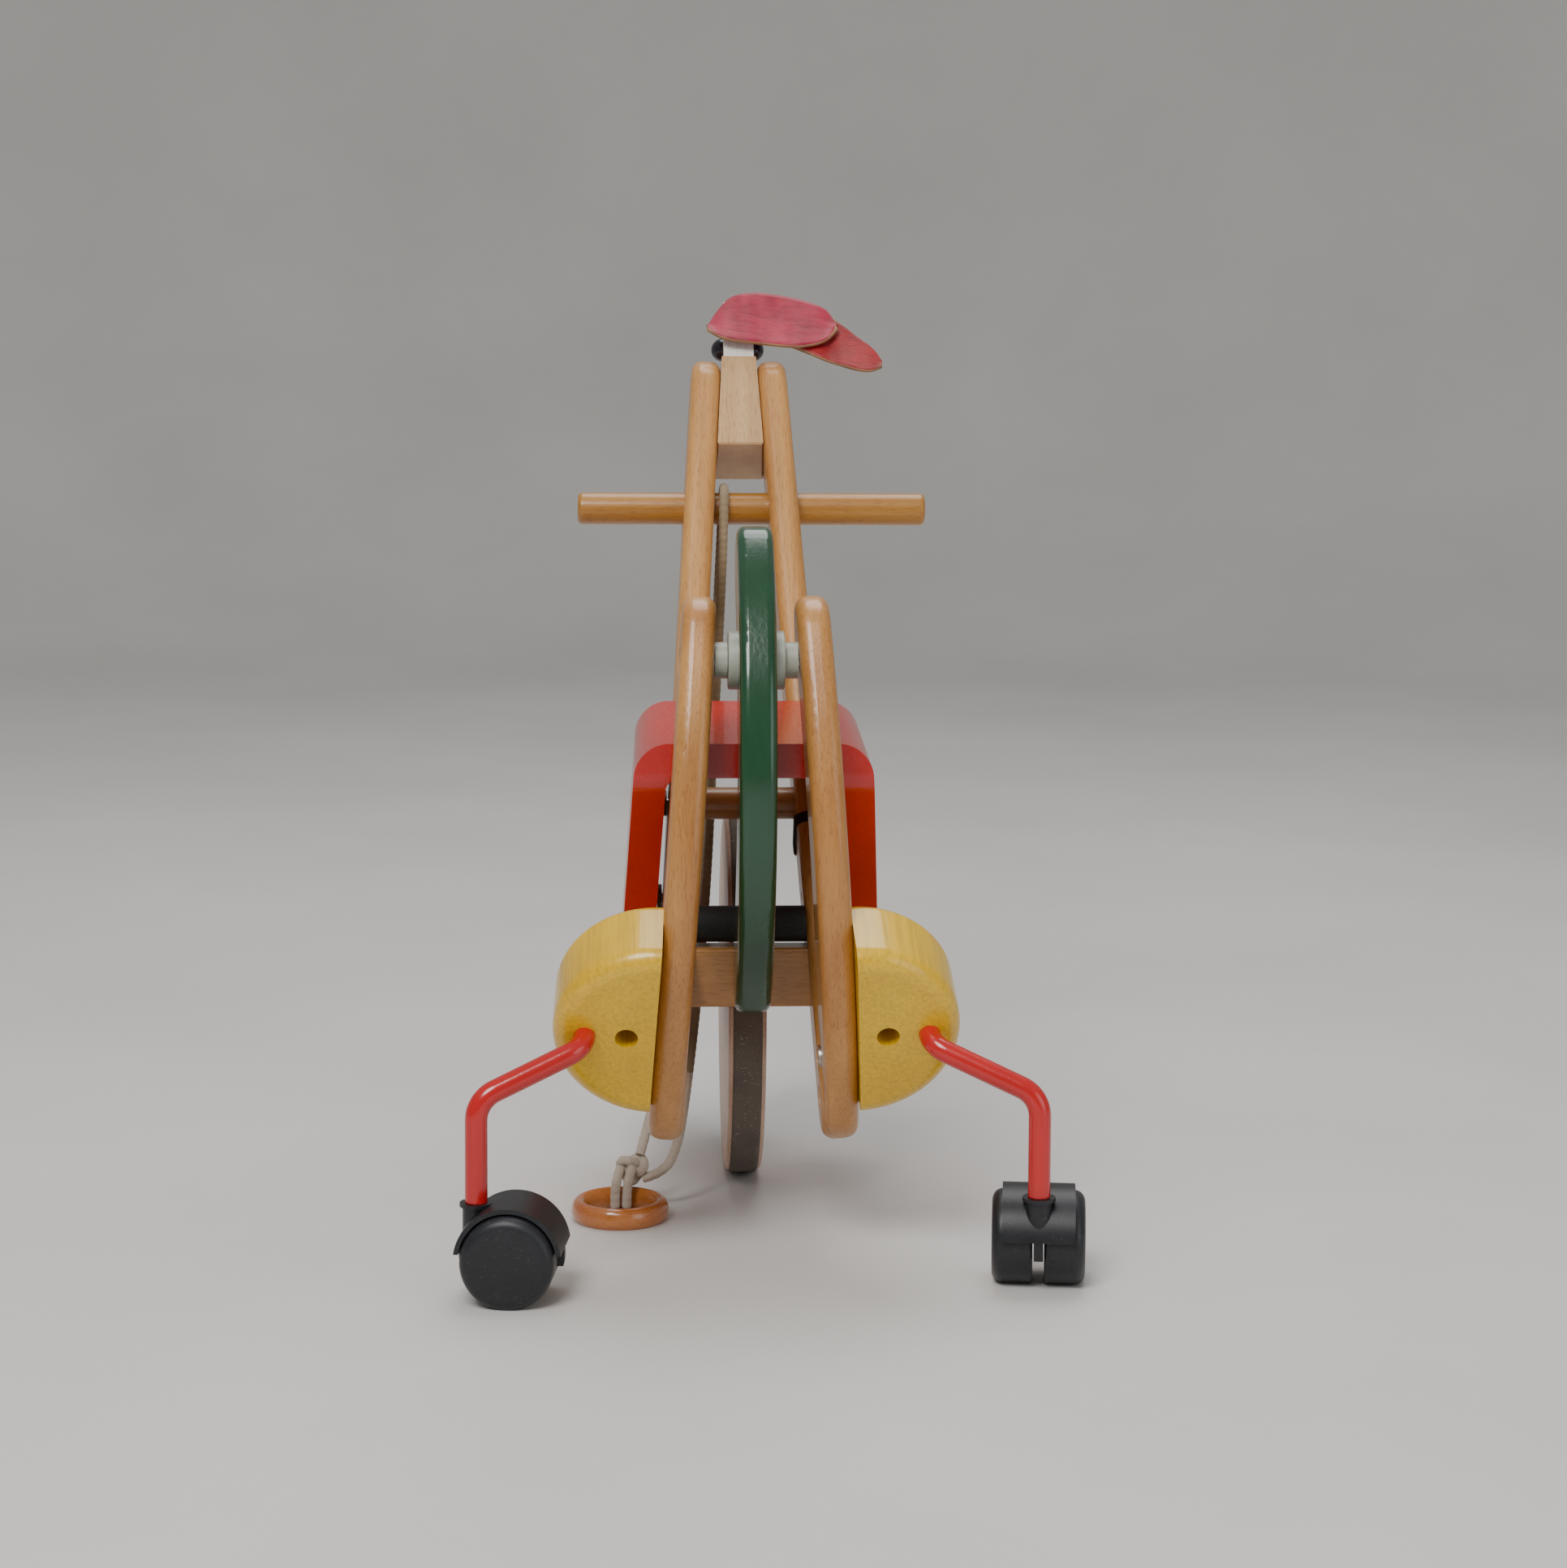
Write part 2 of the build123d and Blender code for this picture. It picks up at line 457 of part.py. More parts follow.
# ---- half-discs and legs ---------------------------------------------------------------------------------------
DISC_AXIS = FORWARD * cos(radians(DISC_TILT)) + UPWARD * sin(radians(DISC_TILT))
DISC_BASE = on_side(*DISC_FACE, BOARD + REAR_STEP)
DISC_PLANE = Plane(origin=DISC_BASE, x_dir=OUTWARD, z_dir=DISC_AXIS)


def disc_point(out, along):
    """Point at a distance out from the slat and along the half-disc's axis, from its rear face."""
    return DISC_BASE + OUTWARD * out + DISC_AXIS * along


def disc_hole(out, radius, deep):
    return Plane(origin=disc_point(out, deep / 2), z_dir=DISC_AXIS) * Cylinder(radius, deep)


def half_disc():
    arc = CenterArc((0, 0), DISC_R, -90, 180)
    face = make_face([arc, Line((0, -DISC_R), (0, DISC_R))])
    body = extrude(DISC_PLANE * face, amount=DISC_THICK)
    round_edges = body.edges().filter_by(GeomType.CIRCLE)
    rear_edge = min(round_edges, key=lambda e: (e.arc_center - DISC_BASE).length)
    front_edge = max(round_edges, key=lambda e: (e.arc_center - DISC_BASE).length)
    body = fillet(rear_edge, DISC_ROUND)
    front_edge = [e for e in body.edges().filter_by(GeomType.CIRCLE)
                  if (e.arc_center - front_edge.arc_center).length < 1 and e.radius > DISC_R - 1]
    body = fillet(front_edge, DISC_ROUND * 0.6)
    leg_hole = disc_hole(LEG_HOLE_OUT, LEG_R + FIT, 2 * LEG_HOLE_DEEP)
    body -= leg_hole.moved(Location(DISC_AXIS * -LEG_HOLE_DEEP))
    body -= disc_hole(SPARE_HOLE_OUT, SPARE_HOLE_R, SPARE_HOLE_DEEP)
    return body


def leg_points():
    hole = disc_point(LEG_HOLE_OUT, 0)
    return [disc_point(LEG_HOLE_OUT, LEG_HOLE_DEEP - 0.5), hole - DISC_AXIS * LEG_STRAIGHT,
            Vector(STEM_X, 0, ELBOW_Z), Vector(STEM_X, 0, LEG_FOOT_Z)]


def leg():
    path = FilletPolyline(*leg_points(), radius=[LEG_BEND, ELBOW_BEND])
    section = Plane(origin=path @ 0, z_dir=path % 0) * Circle(LEG_R)
    tube = sweep(section, path=path)
    bore_top = LEG_FOOT_Z + 30
    bore = Pos(STEM_X, 0, (LEG_FOOT_Z + bore_top) / 2) * Cylinder(STEM_R + FIT, bore_top - LEG_FOOT_Z)
    return tube - bore


def make_legs():
    disc = half_disc()
    tube = leg()
    for side in SIDES:
        parts[f"{side}_half_disc"] = mirrored(side, disc)
        parts[f"{side}_leg"] = mirrored(side, tube)


# ---- castors -----------------------------------------------------------------------------------------------------
def y_cylinder(x, z, radius, low, high):
    return Pos(x, (low + high) / 2, z) * Rot(90, 0, 0) * Cylinder(radius, high - low)


def castor_body():
    """Moulded body with a web between the wheels and a hood over them; it trails along +X."""
    hub = (CASTOR_TRAIL, CASTOR_R)
    hood = (y_cylinder(*hub, HOOD_OUT, -HOOD_WIDE / 2, HOOD_WIDE / 2)
            - y_cylinder(*hub, HOOD_IN, -HOOD_WIDE, HOOD_WIDE))
    above = Pos(hub[0], 0, hub[1] + HOOD_ABOVE_HUB + HOOD_OUT) * Box(3 * HOOD_OUT, 2 * HOOD_WIDE, 2 * HOOD_OUT)
    hood = hood & above
    web = y_cylinder(*hub, HOOD_OUT - 0.5, -WEB / 2, WEB / 2)
    web = web & (Pos(hub[0], 0, hub[1] - WEB_BELOW_HUB + HOOD_OUT) * Box(3 * HOOD_OUT, WEB, 2 * HOOD_OUT))
    web += y_cylinder(*hub, HUB_R, -WEB / 2, WEB / 2)
    neck_low = hub[1] + HOOD_ABOVE_HUB
    neck = Pos(0, 0, (neck_low + FLANGE_TOP) / 2) * Cylinder(NECK_R, FLANGE_TOP - neck_low)
    neck -= y_cylinder(*hub, HOOD_IN, -HOOD_WIDE, HOOD_WIDE)
    collar = Pos(0, 0, FLANGE_TOP - COLLAR_HIGH / 2) * Cylinder(COLLAR_R, COLLAR_HIGH)
    body = hood + web + neck + collar
    body -= y_cylinder(*hub, CASTOR_PIN_R, -WEB, WEB)
    body -= Pos(0, 0, (STEM_LOW + FLANGE_TOP) / 2) * Cylinder(STEM_R, FLANGE_TOP - STEM_LOW)
    return body


def castor_wheel(sign):
    half_gap = CASTOR_GAP / 2
    wheel = y_cylinder(CASTOR_TRAIL, CASTOR_R, CASTOR_R, half_gap, CASTOR_WIDE / 2)
    outer = wheel.edges().filter_by(GeomType.CIRCLE).sort_by(Axis.Y)[-1]
    wheel = fillet(outer, 6.0)
    inner = wheel.edges().filter_by(GeomType.CIRCLE).sort_by(Axis.Y)[0]
    wheel = fillet(inner, 1.5)
    wheel -= y_cylinder(CASTOR_TRAIL, CASTOR_R, CASTOR_PIN_R + FIT, 0, CASTOR_WIDE / 2 - 4)
    return wheel if sign > 0 else mirror(wheel, about=Plane.XZ)


def make_castors():
    for side, sign in SIDES.items():
        place = Pos(sign * STEM_X, 0, 0) * Rot(0, 0, CASTOR_HEADING[side])
        pin_half = CASTOR_WIDE / 2 - 4.3
        parts[f"{side}_castor_body"] = place * castor_body()
        parts[f"{side}_castor_stem"] = place * Pos(0, 0, (STEM_LOW + STEM_TOP) / 2) * Cylinder(
            STEM_R, STEM_TOP - STEM_LOW)
        parts[f"{side}_castor_pin"] = place * y_cylinder(
            CASTOR_TRAIL, CASTOR_R, CASTOR_PIN_R, -pin_half, pin_half)
        parts[f"{side}_castor_wheel_a"] = place * castor_wheel(-1)
        parts[f"{side}_castor_wheel_b"] = place * castor_wheel(1)


# ---- pull rope -----------------------------------------------------------------------------------------------------
def strand(points, name):
    """Round rope along straight runs joined by arcs as large as the runs allow."""
    dots = [Vector(*p) for p in points]
    radii = []
    for before, here, after in zip(dots, dots[1:], dots[2:]):
        turn = radians((here - before).get_angle(after - here))
        short = min((here - before).length, (after - here).length)
        radii.append(BEND_FRACTION * short / tan(turn / 2))
    radii[0] = BAR_R + ROPE_R
    print(name, "bend radii", [round(r, 1) for r in radii])
    path = FilletPolyline(*dots, radius=radii)
    section = Plane(origin=path @ 0, z_dir=path % 0) * Circle(ROPE_R)
    tube = sweep(section, path=path)
    expected = pi * ROPE_R ** 2 * path.length
    print(name, "length", round(path.length, 1), "volume ratio", round(tube.volume / expected, 4))
    return tube


def make_rope():
    parts["pull_rope_rear"] = strand(REAR_STRAND, "rear strand")
    parts["pull_rope_front"] = strand(FRONT_STRAND, "front strand")
    section = Plane.XZ * Pos(RING_R, RING_HIGH / 2) * Ellipse(RING_WIDE / 2, RING_HIGH / 2)
    parts["pull_ring"] = Pos(RING_AT[0], RING_AT[1], 0) * revolve(section, Axis.Z)
    parts["rope_knot"] = Pos(*KNOT_AT) * Sphere(KNOT_R)


# ---- whole object --------------------------------------------------------------------------------------------------
def main():
    make_side_frames()
    make_head()
    make_cross_pieces()
    make_neck_band()
    make_seat()
    make_seat_fixings()
    make_front_wheel()
    make_front_axle()
    make_tail_lever()
    make_legs()
    make_castors()
    make_rope()
    body = Compound([shape for name, shape in parts.items() if name not in ROPE_NODES])
    box = body.bounding_box()
    shift = Vector(-(box.min.X + box.max.X) / 2, -(box.min.Y + box.max.Y) / 2, -box.min.Z)
    print("moved by", [round(v, 3) for v in shift], "size",
          [round(v, 1) for v in box.size])
    os.makedirs("parts", exist_ok=True)
    for old in os.listdir("parts"):
        os.remove(os.path.join("parts", old))
    for name, shape in parts.items():
        export_step(shape.moved(Location(shift)), f"parts/{name}.step")


main()
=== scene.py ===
import json
import math

import bpy
from mathutils import Matrix, Vector


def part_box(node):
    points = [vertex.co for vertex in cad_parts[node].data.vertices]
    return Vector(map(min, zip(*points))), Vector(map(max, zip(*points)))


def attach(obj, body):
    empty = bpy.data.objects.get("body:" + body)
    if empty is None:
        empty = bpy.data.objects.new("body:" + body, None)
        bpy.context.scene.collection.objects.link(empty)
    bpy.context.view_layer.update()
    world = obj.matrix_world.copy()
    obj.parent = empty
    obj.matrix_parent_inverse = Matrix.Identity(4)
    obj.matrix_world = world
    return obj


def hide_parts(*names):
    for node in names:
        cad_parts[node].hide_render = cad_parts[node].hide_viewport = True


# Toddler's wooden ride-on animal, seen from behind. Metres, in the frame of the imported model.
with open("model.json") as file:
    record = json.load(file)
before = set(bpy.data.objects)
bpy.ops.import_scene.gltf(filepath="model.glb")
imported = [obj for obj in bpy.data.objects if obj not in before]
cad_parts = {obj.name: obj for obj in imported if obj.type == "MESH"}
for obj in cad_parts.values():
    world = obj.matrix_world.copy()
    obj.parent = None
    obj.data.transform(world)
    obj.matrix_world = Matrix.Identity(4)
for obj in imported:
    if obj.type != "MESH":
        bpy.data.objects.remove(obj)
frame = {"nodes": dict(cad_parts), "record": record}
nodes = frame["nodes"]
slot_of = {part["node"]: part["material_slot"] for part in frame["record"]["subparts"]}
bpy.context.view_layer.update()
MM = 0.001

# The part's source is drawn with its front wheel's centre here, which places every route below.
WHEEL_CENTRE_MM = Vector((0.0, 261.0, 110.0))
wheel_low, wheel_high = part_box("front_wheel")
ORIGIN = (wheel_low + wheel_high) / 2 - WHEEL_CENTRE_MM * MM


def spot(x, y, z):
    """Point of the part's own drawing, in millimetres, as a place in the frame."""
    return ORIGIN + Vector((x, y, z)) * MM


# ---- camera, floor and light ----------------------------------------------------------------------
SENSOR, LENS = 36.0, 65.997
CAMERA_HEIGHT, CAMERA_BACK, CAMERA_SIDE = 470.0, 1492.5, -66.9
YAW, PITCH, ROLL = 3.0, 4.2, 0.3
SHIFT_DOWN = 0.106
LAMPS = {       # place, diameter, watts and colour
    "key": ((-0.7, -1.7, 2.1), 1.2, 50.0, (1.0, 0.985, 0.96)),
    "top": ((0.2, 0.8, 2.4), 1.6, 27.0, (1.0, 1.0, 1.0)),
    "fill": ((1.7, -1.7, 0.8), 1.6, 9.0, (0.96, 0.98, 1.0)),
}
LAMPS_AIM = Vector((0, 0, 0.25))
SKY, SKY_STRENGTH = (0.86, 0.85, 0.83, 1), 0.5


def make_camera():
    data = bpy.data.cameras.new("camera")
    data.sensor_width = SENSOR
    data.lens = LENS
    data.shift_y = -SHIFT_DOWN
    camera = bpy.data.objects.new("camera", data)
    bpy.context.scene.collection.objects.link(camera)
    camera.location = spot(CAMERA_SIDE, -CAMERA_BACK, CAMERA_HEIGHT)
    yaw, pitch = math.radians(YAW), math.radians(PITCH)
    ahead = Vector((math.sin(yaw) * math.cos(pitch), math.cos(yaw) * math.cos(pitch), -math.sin(pitch)))
    turn = ahead.to_track_quat("-Z", "Y").to_matrix() @ Matrix.Rotation(math.radians(ROLL), 3, "Z")
    camera.rotation_euler = turn.to_euler()
    bpy.context.scene.camera = camera


def make_light(name, place, size, watts, colour):
    data = bpy.data.lights.new(name, "AREA")
    data.shape = "DISK"
    data.size = size
    data.energy = watts
    data.color = colour
    lamp = bpy.data.objects.new(name, data)
    bpy.context.scene.collection.objects.link(lamp)
    lamp.location = place
    lamp.rotation_euler = (LAMPS_AIM - Vector(place)).to_track_quat("-Z", "Y").to_euler()


def make_studio():
    for name, settings in LAMPS.items():
        make_light(name, *settings)
    world = bpy.data.worlds.new("studio")
    world.use_nodes = True
    sky = world.node_tree.nodes["Background"]
    sky.inputs["Color"].default_value = SKY
    sky.inputs["Strength"].default_value = SKY_STRENGTH
    bpy.context.scene.world = world


# ---- materials ------------------------------------------------------------------------------------
class Shader:
    """One node material with short helpers for the links that every finish here needs."""

    def __init__(self, name, roughness=0.5, coat=0.0, coat_roughness=0.1, metallic=0.0, sheen=0.0):
        self.material = bpy.data.materials.new(name)
        self.material.use_nodes = True
        self.tree = self.material.node_tree
        self.bsdf = self.tree.nodes["Principled BSDF"]
        self.bsdf.inputs["Roughness"].default_value = roughness
        self.bsdf.inputs["Coat Weight"].default_value = coat
        self.bsdf.inputs["Coat Roughness"].default_value = coat_roughness
        self.bsdf.inputs["Metallic"].default_value = metallic
        self.bsdf.inputs["Sheen Weight"].default_value = sheen
        self.place = self.add("ShaderNodeTexCoord").outputs["Object"]

    def add(self, kind, **settings):
        node = self.tree.nodes.new(kind)
        for key, value in settings.items():
            setattr(node, key, value)
        return node

    def link(self, start, end):
        self.tree.links.new(start, end)

    def stretched(self, along, lengthwise, crosswise):
        """Object coordinates scaled by one amount along a direction and another across it."""
        along = Vector(along).normalized()
        side = along.orthogonal().normalized()
        joined = self.add("ShaderNodeCombineXYZ")
        for axis, scale, way in (("X", lengthwise, along), ("Y", crosswise, side),
                                 ("Z", crosswise, along.cross(side))):
            dot = self.add("ShaderNodeVectorMath", operation="DOT_PRODUCT")
            self.link(self.place, dot.inputs[0])
            dot.inputs[1].default_value = way * scale
            self.link(dot.outputs["Value"], joined.inputs[axis])
        return joined.outputs["Vector"]

    def noise(self, vector, scale=1.0, detail=3.0, rough=0.55):
        texture = self.add("ShaderNodeTexNoise")
        texture.inputs["Scale"].default_value = scale
        texture.inputs["Detail"].default_value = detail
        texture.inputs["Roughness"].default_value = rough
        self.link(vector, texture.inputs["Vector"])
        return texture.outputs["Fac"]

    def ramp(self, value, stops):
        node = self.add("ShaderNodeValToRGB")
        node.color_ramp.elements[0].position = stops[0][0]
        node.color_ramp.elements[0].color = (*stops[0][1], 1)
        node.color_ramp.elements[1].position = stops[-1][0]
        node.color_ramp.elements[1].color = (*stops[-1][1], 1)
        for position, colour in stops[1:-1]:
            node.color_ramp.elements.new(position).color = (*colour, 1)
        self.link(value, node.inputs["Fac"])
        return node.outputs["Color"]

    def mix(self, share, first, second, blend="MIX"):
        node = self.add("ShaderNodeMix", data_type="RGBA", blend_type=blend)
        for value, socket in ((share, node.inputs[0]), (first, node.inputs[6]), (second, node.inputs[7])):
            if hasattr(value, "is_linked"):
                self.link(value, socket)
            else:
                socket.default_value = value if isinstance(value, float) else (*value, 1)
        return node.outputs[2]

    def spread(self, value, low, high):
        node = self.add("ShaderNodeMapRange")
        node.inputs["To Min"].default_value = low
        node.inputs["To Max"].default_value = high
        self.link(value, node.inputs["Value"])
        return node.outputs["Result"]

    def finish(self, colour, roughness=None, bumps=()):
        self.link(colour, self.bsdf.inputs["Base Color"])
        if roughness is not None:
            self.link(roughness, self.bsdf.inputs["Roughness"])
        normal = None
        for height, depth in bumps:
            bump = self.add("ShaderNodeBump")
            bump.inputs["Distance"].default_value = depth
            self.link(height, bump.inputs["Height"])
            if normal is not None:
                self.link(normal, bump.inputs["Normal"])
            normal = bump.outputs["Normal"]
        if normal is not None:
            self.link(normal, self.bsdf.inputs["Normal"])
        return self.material


BLACK = (0.0, 0.0, 0.0)
WHITE = (1.0, 1.0, 1.0)


def wood(name, pale, deep, along, roughness=0.34, coat=0.35):
    """Varnished beech: soft growth bands, fine fibres and short dark flecks, all along the grain."""
    s = Shader(name, coat=coat, coat_roughness=0.16)
    bands = s.noise(s.stretched(along, 2.2, 42.0), detail=4.0)
    fibres = s.noise(s.stretched(along, 30.0, 900.0), detail=2.0)
    flecks = s.noise(s.stretched(along, 150.0, 1100.0), detail=0.0)
    patches = s.noise(s.stretched(along, 5.0, 11.0), detail=2.0)
    base = s.ramp(bands, [(0.30, pale), (0.52, [(p + d) / 2 for p, d in zip(pale, deep)]), (0.74, deep)])
    lines = s.ramp(fibres, [(0.30, (0.80, 0.78, 0.74)), (0.62, WHITE)])
    dashes = s.ramp(flecks, [(0.60, WHITE), (0.70, (0.70, 0.60, 0.50))])
    clouds = s.ramp(patches, [(0.35, (0.86, 0.83, 0.78)), (0.60, WHITE)])
    colour = s.mix(0.55, base, lines, "MULTIPLY")
    colour = s.mix(0.55, colour, dashes, "MULTIPLY")
    colour = s.mix(0.70, colour, clouds, "MULTIPLY")
    rough = s.spread(patches, roughness - 0.07, roughness + 0.12)
    return s.finish(colour, rough, [(fibres, 0.00012), (bands, 0.00015)])


def lacquer(name, colour, deep, along, roughness=0.16, grain=0.25):
    """Sprayed gloss over wood: slight orange peel, faint grain, and rubbed duller patches."""
    s = Shader(name, coat=0.45, coat_roughness=0.07)
    peel = s.noise(s.place, 260.0, 2.0)
    patches = s.noise(s.place, 14.0, 4.0)
    fibres = s.noise(s.stretched(along, 14.0, 420.0), detail=3.0)
    scratches = s.noise(s.stretched((0.3, 1.0, 0.8), 35.0, 1500.0), detail=1.0)
    base = s.ramp(patches, [(0.30, deep), (0.65, colour)])
    lines = s.ramp(fibres, [(0.35, (0.72, 0.72, 0.72)), (0.6, WHITE)])
    base = s.mix(grain, base, lines, "MULTIPLY")
    worn = s.ramp(scratches, [(0.69, BLACK), (0.74, WHITE)])
    lighter = [min(1.0, c * 1.5 + 0.02) for c in colour]
    base = s.mix(s.spread(worn, 0.0, 0.22), base, lighter)
    rough = s.spread(patches, roughness, roughness + 0.14)
    return s.finish(base, rough, [(peel, 0.00004), (fibres, 0.00006 * (1 + 3 * grain))])


def moulded(name, colour, roughness=0.42, texture=0.00005, dust=0.08):
    """Moulded plastic or rubber: fine spark texture, scuffs and a little dust."""
    s = Shader(name)
    fine = s.noise(s.place, 1400.0, 2.0)
    wide = s.noise(s.place, 38.0, 5.0)
    scuffs = s.noise(s.stretched((1.0, 0.5, 0.2), 45.0, 900.0), detail=2.0)
    base = s.ramp(wide, [(0.35, colour), (0.75, [c * 1.5 + 0.004 for c in colour])])
    marks = s.ramp(scuffs, [(0.64, BLACK), (0.72, WHITE)])
    base = s.mix(s.spread(marks, 0.0, dust), base, (0.42, 0.40, 0.37))
    rough = s.spread(wide, roughness - 0.08, roughness + 0.12)
    return s.finish(base, rough, [(fine, texture)])


def painted(name, colour, roughness):
    """Brushed white paint, rubbed through in places."""
    s = Shader(name)
    strokes = s.noise(s.stretched((0, 0.55, 0.83), 25.0, 520.0), detail=3.0)
    wear = s.noise(s.place, 95.0, 6.0, 0.7)
    base = s.ramp(strokes, [(0.3, [c * 0.86 for c in colour]), (0.6, colour)])
    chips = s.ramp(wear, [(0.66, BLACK), (0.70, WHITE)])
    base = s.mix(s.spread(chips, 0.0, 0.65), base, (0.40, 0.30, 0.20))
    return s.finish(base, s.spread(strokes, roughness - 0.1, roughness + 0.1), [(strokes, 0.0001)])


def leather(name, colour, deep):
    """Smooth hide: small creased cells, mottled dye and rubbed high spots."""
    s = Shader(name, coat=0.08, coat_roughness=0.4)
    cells = s.add("ShaderNodeTexVoronoi", feature="DISTANCE_TO_EDGE")
    cells.inputs["Scale"].default_value = 900.0
    s.link(s.place, cells.inputs["Vector"])
    mottle = s.noise(s.place, 55.0, 5.0)
    creases = s.noise(s.stretched((1, 0, -0.2), 60.0, 260.0), detail=4.0)
    base = s.ramp(mottle, [(0.32, deep), (0.66, colour)])
    lines = s.ramp(creases, [(0.38, (0.62, 0.58, 0.58)), (0.52, WHITE)])
    base = s.mix(0.6, base, lines, "MULTIPLY")
    return s.finish(base, s.spread(mottle, 0.45, 0.62),
                    [(cells.outputs["Distance"], 0.00012), (creases, 0.0004)])


def metal(name, colour, roughness=0.28):
    s = Shader(name, metallic=1.0)
    turned = s.noise(s.stretched((0, 0.4, 1), 500.0, 60.0), detail=3.0)
    base = s.ramp(turned, [(0.3, [c * 0.7 for c in colour]), (0.65, colour)])
    return s.finish(base, s.spread(turned, roughness - 0.08, roughness + 0.14), [(turned, 0.00003)])


def braid_material(name, pale, deep):
    s = Shader(name, roughness=0.85, sheen=0.3)
    fibres = s.noise(s.place, 1900.0, 3.0)
    dirt = s.noise(s.place, 28.0, 4.0)
    base = s.ramp(dirt, [(0.30, deep), (0.64, pale)])
    lines = s.ramp(fibres, [(0.32, (0.58, 0.54, 0.48)), (0.6, WHITE)])
    return s.finish(s.mix(0.7, base, lines, "MULTIPLY"), None, [(fibres, 0.0002)])


def floor_material():
    s = Shader("floor", roughness=0.6)
    wide = s.noise(s.place, 2.4, 6.0)
    fine = s.noise(s.place, 60.0, 4.0)
    base = s.ramp(wide, [(0.30, (0.62, 0.61, 0.595)), (0.70, (0.68, 0.67, 0.655))])
    return s.finish(base, s.spread(wide, 0.45, 0.65), [(fine, 0.00015)])


NECK_GRAIN = (0, 0.551, 0.835)
UP_GRAIN = (0, 0, 1)
HONEY = ((0.64, 0.32, 0.095), (0.40, 0.16, 0.036))


def make_finishes():
    finish = {
        "amber_beech": wood("amber_beech", (0.58, 0.29, 0.045), (0.36, 0.145, 0.018), (1, 0, 0)),
        "pale_beech": wood("pale_beech", (0.66, 0.42, 0.20), (0.50, 0.28, 0.12), NECK_GRAIN),
        "white_paint": painted("white_paint", (0.80, 0.78, 0.72), 0.45),
        "eye_gloss": moulded("eye_gloss", (0.012, 0.008, 0.018), 0.12, 0.00001, 0.02),
        "red_lacquer": lacquer("red_lacquer", (0.60, 0.010, 0.004), (0.48, 0.006, 0.003), (0, 1, 0.13)),
        "green_lacquer": lacquer("green_lacquer", (0.006, 0.060, 0.022), (0.004, 0.040, 0.014), UP_GRAIN),
        "yellow_stain": lacquer("yellow_stain", (0.82, 0.50, 0.006), (0.68, 0.38, 0.004), (0, 0.89, 0.45),
                                0.26, 0.7),
        "red_enamel": lacquer("red_enamel", (0.56, 0.008, 0.010), (0.46, 0.005, 0.006), UP_GRAIN, 0.14, 0.0),
        "black_plastic": moulded("black_plastic", (0.006, 0.007, 0.010), 0.40),
        "black_rubber": moulded("black_rubber", (0.006, 0.006, 0.006), 0.7, 0.00012),
        "tread_rubber": moulded("tread_rubber", (0.105, 0.085, 0.070), 0.78, 0.0003, 0.6),
        "wheel_wood": wood("wheel_wood", (0.66, 0.46, 0.35), (0.50, 0.30, 0.20), (0, 1, 0), 0.42, 0.15),
        "ring_wood": wood("ring_wood", (0.62, 0.22, 0.050), (0.42, 0.11, 0.02), (1, 0, 0), 0.2, 0.8),
        "grey_plastic": moulded("grey_plastic", (0.34, 0.36, 0.30), 0.34, 0.00003, 0.15),
        "steel": metal("steel", (0.62, 0.62, 0.61)),
    }
    honey = {
        "neck": wood("honey_neck", *HONEY, NECK_GRAIN),
        "rear": wood("honey_rear", *HONEY, UP_GRAIN),
        "cross": wood("honey_cross", *HONEY, (1, 0, 0)),
    }
    for name, node in nodes.items():
        slot = slot_of[name]
        if slot == "honey_beech":
            kind = "neck" if "neck" in name else "rear" if "rear" in name else "cross"
            material = honey[kind]
        else:
            material = finish.get(slot)
        if material is not None:
            node.data.materials.clear()
            node.data.materials.append(material)


# ---- braided rope ---------------------------------------------------------------------------------
ROPE_RADIUS = 3.0 * MM
REAR_ROUTE = [
    (-10.5, 307, 419.3), (-10.5, 293.7, 419.3), (-11, 292, 393.5), (-13, 286, 343), (-18, 262, 260),
    (-22, 240, 180), (-29, 212, 107), (-36, 185, 58), (-40.5, 171, 36), (-48, 165, 22), (-60.5, 168, 18)]
FRONT_ROUTE = [
    (-10.5, 307, 419.3), (-10.5, 320.3, 419.3), (-11.5, 321, 394), (-14, 315, 345), (-18, 300, 262),
    (-24, 277, 183), (-33, 238, 113), (-49, 197, 76), (-57, 177, 51), (-62.5, 171, 31.5)]
BRAID_AROUND, BRAID_STRANDS, BRAID_PITCH, BRAID_DEPTH = 24, 6, 9.0 * MM, 0.13
ROPE_STEP = 0.6 * MM            # distance between the rings of a rope's mesh
PAINTED_SHADE_ABOVE = 75.0              # painted shade: the rope is coloured darker above this height, inside the frame under the seat
KNOT = (-67.0, 170.0, 23.6)
KNOT_WIDE, KNOT_DEEP, KNOT_RINGS = 2.5, 3.4, 160
HITCH_PLACES = (-77.0, -70.2)   # X of the two loops that hold the ring


def nurbs_points(route):
    """Points along the smooth NURBS line that has the route as its control points."""
    data = bpy.data.curves.new("route", "CURVE")
    data.dimensions = "3D"
    spline = data.splines.new("NURBS")
    spline.points.add(len(route) - 1)
    for point, place in zip(spline.points, route):
        point.co = (*spot(*place), 1.0)
    spline.order_u = 3
    spline.use_endpoint_u = True
    spline.resolution_u = 40
    holder = bpy.data.objects.new("route", data)
    bpy.context.scene.collection.objects.link(holder)
    bpy.context.view_layer.update()
    line = bpy.data.meshes.new_from_object(holder)
    points = [v.co.copy() for v in line.vertices]
    bpy.data.objects.remove(holder)
    return points


